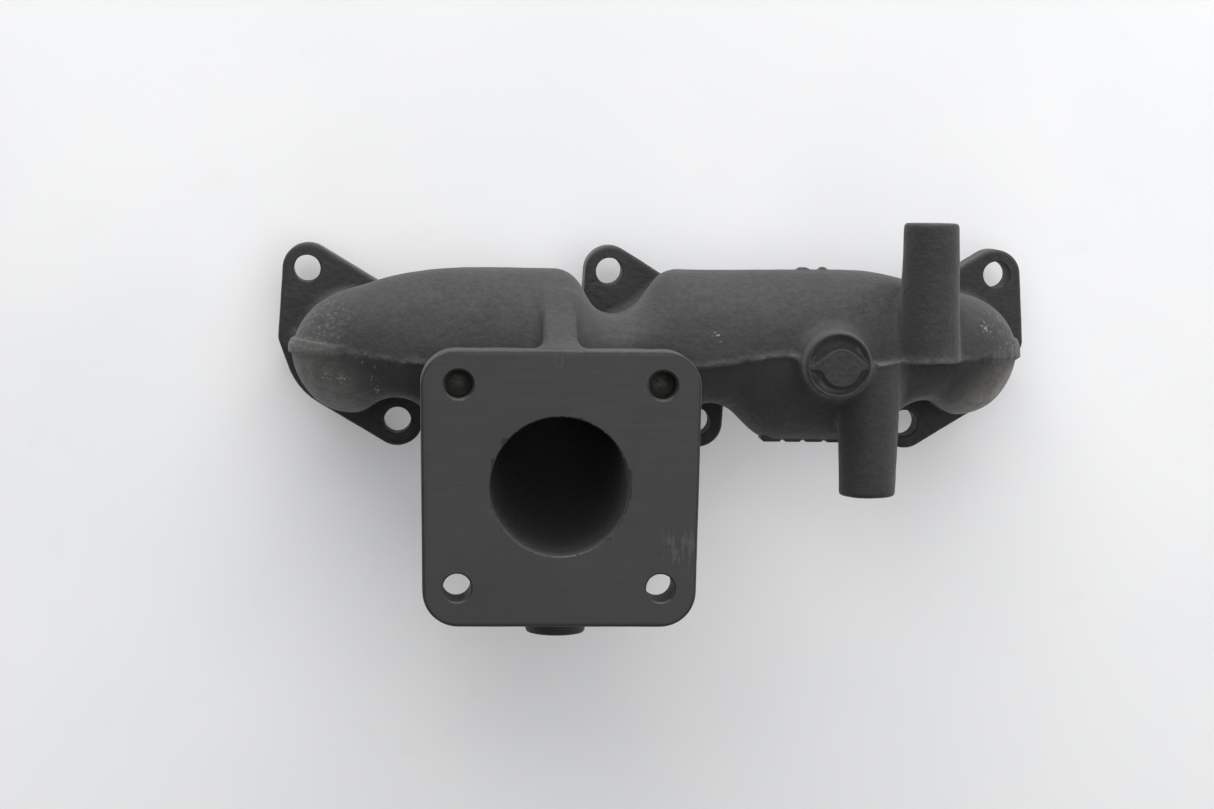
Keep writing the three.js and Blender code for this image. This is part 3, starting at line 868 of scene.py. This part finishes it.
def cast_material():
    k = Nodes("cast_skin")
    grain = k.noise(1500, 2.0, 0.6)
    coarse = k.noise(520, 3.0, 0.6)
    patch = k.noise(34, 4.0, 0.6)
    blotch = k.noise(110, 3.0, 0.55)
    base = k.mix(k.ramp(patch, 0.35, 0.68), (0.0156, 0.0151, 0.0153), (0.0213, 0.0205, 0.0201))
    base = k.mix(k.ramp(blotch, 0.42, 0.72, 0.0, 0.45), base, (0.0252, 0.0243, 0.0234))
    base = k.mix(k.ramp(grain, 0.35, 0.75, 0.0, 0.5), base, (0.0270, 0.0260, 0.0250))
    # lighter in the corners and darker along the outer edges, by the edge value
    edge = k.attribute("edge")
    base = k.mix(k.ramp(edge, 0.25, 0.9, 0.0, 0.6), base, (0.0754, 0.0742, 0.0719))
    base = k.mix(k.ramp(edge, -0.05, -0.42, 0.0, 0.62), base, (0.0104, 0.0104, 0.0110))
    # painted shade in the corners either side of the rib
    rib_side_shade = k.math("MAXIMUM", k.near(-41.5, 8.0, 58, 2.0, 10.0), k.near(-24.5, 8.0, 58, 1.5, 8.0))
    rib_side_shade = k.math("MULTIPLY", rib_side_shade, k.ramp(blotch, 0.25, 0.6, 0.6, 1.0))
    base = k.mix(k.math("MULTIPLY", rib_side_shade, 0.42), base, (0.0104, 0.0102, 0.0104))
    # pale dust caught in the skin, mostly on the two ends of the log
    speck = k.ramp(k.voronoi(950), 0.46, 0.20)
    where = k.ramp(k.noise(420, 3.0, 0.6), 0.44, 0.54)
    spots = k.near(-97, -7.5, 47, 0.8, 3.6)
    for px, py, pz, r in DUST:
        spots = k.math("MAXIMUM", spots, k.near(px, py, pz, r * 0.3, r))
    wide = k.math("MAXIMUM", k.near(-104, 6, 42, 3, 17), k.math("MULTIPLY", k.near(103, 6, 42, 3, 15), 0.5))
    # the lower sides of the log's two ends are painted lighter: pale dust, and painted bounce light from the floor
    left = k.near(-104, -10, 36, 5, 24)
    right = k.near(104, -12, 32, 5, 23)
    x, y, z = k.split()
    right = k.math("MULTIPLY", right, k.ramp(y, 0.0235, 0.0165))
    lower_ends_dust_and_bounce = k.math("MAXIMUM", left, right)
    ends_mottle = k.ramp(k.noise(240, 4.0, 0.7), 0.36, 0.60, 0.55, 1.0)
    base = k.mix(k.math("MULTIPLY", k.math("MULTIPLY", left, ends_mottle), 0.92), base, (0.118, 0.115, 0.109))
    base = k.mix(k.math("MULTIPLY", k.math("MULTIPLY", right, ends_mottle), 0.94), base, (0.185, 0.176, 0.158))
    thick = k.ramp(k.noise(380, 2.0, 0.6), 0.36, 0.50)
    dust = k.math("MAXIMUM", k.math("MULTIPLY", k.math("MULTIPLY", speck, where), k.math("MULTIPLY", wide, 0.13)), k.math("MULTIPLY", k.math("MULTIPLY", speck, thick), k.math("MULTIPLY", spots, 0.8)))
    base = k.mix(dust, base, (0.27, 0.26, 0.245))
    # grit that stands out a little lighter all over the ends
    grit = k.math("MULTIPLY", k.ramp(k.noise(900, 2.0, 0.6), 0.52, 0.68), k.math("MAXIMUM", wide, k.math("MULTIPLY", lower_ends_dust_and_bounce, 0.7)))
    base = k.mix(k.math("MULTIPLY", grit, 0.45), base, (0.15, 0.147, 0.14))
    # the flash along the parting line is broken off, and painted a little lighter along it: a painted highlight where
    # the fin catches the light
    flash = k.math("MULTIPLY", k.attribute("seam"), k.ramp(k.noise(300, 2.0, 0.6), 0.35, 0.62, 0.2, 0.75))
    base = k.mix(k.math("MULTIPLY", flash, 0.55), base, (0.090, 0.088, 0.085))
    # the flat grey of the ground bands at the log's two ends
    for sign, slope, top, low, start in ((-1, 0.12, 2.0, -1.45, 96.8), (1, 0.29, 0.75, -2.2, 98.0)):
        run = k.math("SUBTRACT", k.math("MULTIPLY", x, 1000.0 * sign), start)
        high = k.math("ADD", k.math("MULTIPLY", run, slope), top + PORT_LINE_Y)
        under = k.math("ADD", k.math("MULTIPLY", run, 0.06), low + PORT_LINE_Y)
        ymm = k.math("MULTIPLY", y, 1000.0)
        m = k.math("MULTIPLY", k.ramp(k.math("SUBTRACT", high, ymm), -0.15, 0.25), k.ramp(k.math("SUBTRACT", ymm, under), -0.15, 0.25))
        m = k.math("MULTIPLY", k.math("MULTIPLY", m, k.ramp(run, 0.0, 6.0)), k.ramp(z, 0.014, 0.020))
        ticks = k.ramp(k.noise(900, 1.0, 0.4, k.stretched(1.0, 0.05, 0.05)), 0.35, 0.7, 0.1, 0.8)
        base = k.mix(k.math("MULTIPLY", m, ticks), base, (0.074, 0.072, 0.070))
    # the gas passages are painted near black
    base = k.mix(k.math("MULTIPLY", k.attribute("inside"), 0.85), base, (0.006, 0.0058, 0.0055))
    k.put(k.b.inputs["Base Color"], base)
    k.put(k.b.inputs["Roughness"], k.ramp(coarse, 0.3, 0.75, 0.66, 0.80))
    k.b.inputs["Specular IOR Level"].default_value = 0.4
    k.b.inputs["Sheen Weight"].default_value = 0.10
    k.b.inputs["Sheen Roughness"].default_value = 0.5
    n = k.bump(k.noise(260, 3.0, 0.6), 0.00022, 0.7)
    n = k.bump(coarse, 0.00021, 0.95, n)
    n = k.bump(grain, 0.00010, 0.95, n)
    k.link(n, k.b.inputs["Normal"])
    return k.m


def face_material():
    k = Nodes("machined_face")
    patch = k.noise(26, 4.0, 0.6)
    fine = k.noise(900, 2.0, 0.6)
    streak = k.noise(60, 3.0, 0.6, k.stretched(1.0, 14.0, 1.0))
    base = k.mix(k.ramp(patch, 0.35, 0.7), (0.0219, 0.0204, 0.0200), (0.0258, 0.0240, 0.0234))
    base = k.mix(k.ramp(streak, 0.45, 0.75, 0.0, 0.35), base, (0.0317, 0.0298, 0.0289))
    base = k.mix(k.ramp(fine, 0.45, 0.8, 0.0, 0.3), base, (0.0329, 0.0308, 0.0297))
    scuff = k.math("MULTIPLY", k.ramp(k.noise(420, 3.0, 0.6, k.stretched(2.2, 0.5, 1.0)), 0.52, 0.62), k.math("MAXIMUM", k.near(3.4, -55, 80, 3, 9), k.near(-31.5, 1.5, 80, 1, 5)))
    base = k.mix(k.math("MULTIPLY", scuff, 0.5), base, (0.0696, 0.0684, 0.0667))
    k.put(k.b.inputs["Base Color"], base)
    k.put(k.b.inputs["Roughness"], k.ramp(streak, 0.3, 0.75, 0.56, 0.68))
    k.b.inputs["Specular IOR Level"].default_value = 0.5
    n = k.bump(streak, 0.00003, 0.6)
    n = k.bump(fine, 0.000022, 0.8, n)
    k.link(n, k.b.inputs["Normal"])
    return k.m


def drilled_material():
    k = Nodes("drilled_iron")
    patch = k.noise(160, 4.0, 0.6)
    rings = k.noise(60, 2.0, 0.5, k.stretched(1.0, 1.0, 40.0))
    base = k.mix(k.ramp(patch, 0.35, 0.7), (0.015, 0.0145, 0.014), (0.028, 0.027, 0.025))
    base = k.mix(k.ramp(rings, 0.4, 0.7, 0.0, 0.4), base, (0.040, 0.038, 0.036))
    # painted glint in the points of the two blind holes, where the drill cones catch the light
    point = k.math("MAXIMUM", k.near(-62.9, -6.8, 68.0, 0.6, 3.3), k.near(-2.9, -6.8, 68.0, 0.6, 3.3))
    point = k.math("MULTIPLY", point, k.ramp(k.noise(650, 2.0, 0.6), 0.38, 0.62, 0.35, 1.0))
    k.put(k.b.inputs["Base Color"], k.mix(point, base, (0.20, 0.19, 0.165)))
    k.put(k.b.inputs["Roughness"], k.ramp(patch, 0.3, 0.7, 0.5, 0.66))
    k.b.inputs["Metallic"].default_value = 0.25
    n = k.bump(rings, 0.00004, 0.7)
    n = k.bump(k.noise(1100, 2.0, 0.6), 0.00003, 0.8, n)
    k.link(n, k.b.inputs["Normal"])
    return k.m


casting.data.materials.clear()
for m in (cast_material(), face_material(), drilled_material()):
    casting.data.materials.append(m)
def face_outward(o):
    """Up to here the faces look into the metal, and the classes and marks above are set for that."""
    bm = bmesh.new()
    bm.from_mesh(o.data)
    if bm.calc_volume(signed=True) < 0:
        bmesh.ops.reverse_faces(bm, faces=bm.faces[:])
    bm.to_mesh(o.data)
    bm.free()
    o.data.update()


classify(casting)
casting.data.polygons.foreach_set("use_smooth", np.ones(len(casting.data.polygons), bool))
casting.data.set_sharp_from_angle(angle=math.radians(38))
convexity(casting)
marks(casting)
face_outward(casting)
m = casting.modifiers.new("n", "WEIGHTED_NORMAL")
m.keep_sharp, m.weight, m.mode = True, 70, "FACE_AREA"
made = bpy.data.meshes.new_from_object(casting.evaluated_get(bpy.context.evaluated_depsgraph_get()))
casting.modifiers.clear()
casting.data = made
casting.data.update()
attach(casting, "root")
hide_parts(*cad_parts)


# ------------------------------------------------------------------ floor
def floor_material():
    k = Nodes("pale_floor")
    a = k.noise(9, 3.0, 0.5)
    b = k.noise(60, 4.0, 0.6)
    base = k.mix(k.ramp(a, 0.3, 0.7), (0.80, 0.805, 0.82), (0.83, 0.832, 0.838))
    base = k.mix(k.ramp(b, 0.6, 0.8, 0.0, 0.25), base, (0.74, 0.735, 0.73))
    k.put(k.b.inputs["Base Color"], base)
    k.b.inputs["Roughness"].default_value = 0.7
    k.b.inputs["Specular IOR Level"].default_value = 0.2
    return k.m


def pin_material():
    k = Nodes("pin")
    k.put(k.b.inputs["Base Color"], k.mix(k.ramp(k.noise(300, 2.0), 0.3, 0.7), (0.78, 0.78, 0.79), (0.84, 0.84, 0.84)))
    k.b.inputs["Roughness"].default_value = 0.5
    return k.m


# The casting rests on slim pins under its head faces, clear of the table.
RAISED = 0.014
for i, (px, _) in enumerate(PORTS):
    for s in (-1, 1):
        bpy.ops.mesh.primitive_cylinder_add(vertices=32, radius=0.0022, depth=RAISED, location=((px + s * 17.3) / 1000, PORT_LINE_Y / 1000, -RAISED / 2))
        pin = bpy.context.object
        pin.name = f"pin_{i}_{'a' if s < 0 else 'b'}"
        pin.data.materials.append(pin_material())
bpy.ops.mesh.primitive_plane_add(size=8.0, location=(0, 0, -RAISED))
floor = bpy.context.object
floor.name = "floor"
floor.data.materials.append(floor_material())


# ------------------------------------------------------------------ light
def softbox(name, place, aim, width, height, power, colour=(1, 1, 1)):
    d = bpy.data.lights.new(name, "AREA")
    d.shape, d.size, d.size_y, d.energy, d.color = "RECTANGLE", width, height, power, colour
    o = bpy.data.objects.new(name, d)
    o.location = place
    o.rotation_mode = "QUATERNION"
    o.rotation_quaternion = (Vector(aim) - Vector(place)).to_track_quat("-Z", "Y")
    bpy.context.scene.collection.objects.link(o)
    return o


softbox("back_light", (0.0, 1.0, 1.1), (0, 0, 0.03), 1.8, 0.9, 7.5)
softbox("low_light", (0.0, 1.5, 0.30), (0, 0, 0.03), 2.4, 0.4, 38)
softbox("overhead_light", (0.1, 0.25, 1.5), (0, 0, 0), 1.8, 1.2, 13)
softbox("right_light", (1.45, 0.10, 0.40), (0, 0, 0.03), 1.0, 0.6, 6.6)
softbox("left_light", (-1.45, 0.10, 0.40), (0, 0, 0.03), 1.0, 0.6, 1.6)
softbox("front_light", (0, -1.3, 0.75), (0, 0, 0.03), 1.6, 0.5, 3.2)
world = bpy.data.worlds.new("world")
bpy.context.scene.world = world
world.use_nodes = True
world.node_tree.nodes["Background"].inputs[0].default_value = (0.97, 0.985, 1.0, 1)
world.node_tree.nodes["Background"].inputs[1].default_value = 0.08
bpy.context.scene.view_settings.view_transform = "Standard"
bpy.context.scene.view_settings.look = "None"

# ------------------------------------------------------------------ camera
CAM_TO_FRAME = [
    [0.9974752888790902, 0.012352708071081402, 0.06993181449731088],
    [0.006136734720348588, -0.996065027087777, 0.08841268178037624],
    [0.07074877074937576, -0.08776031230537323, -0.9936260559292492],
]
R = Matrix(CAM_TO_FRAME).transposed() @ Matrix.Diagonal((1, -1, -1))
cam = bpy.data.objects.new("camera", bpy.data.cameras.new("camera"))
bpy.context.scene.collection.objects.link(cam)
cam.data.sensor_width, cam.data.sensor_fit, cam.data.lens = 36.0, "HORIZONTAL", 86.0396
cam.data.clip_start, cam.data.clip_end = 0.05, 20
cam.rotation_mode = "QUATERNION"
cam.rotation_quaternion = R.to_quaternion()
cam.location = (-0.0795766, 0.0839915, 0.9250271)
bpy.context.scene.camera = cam
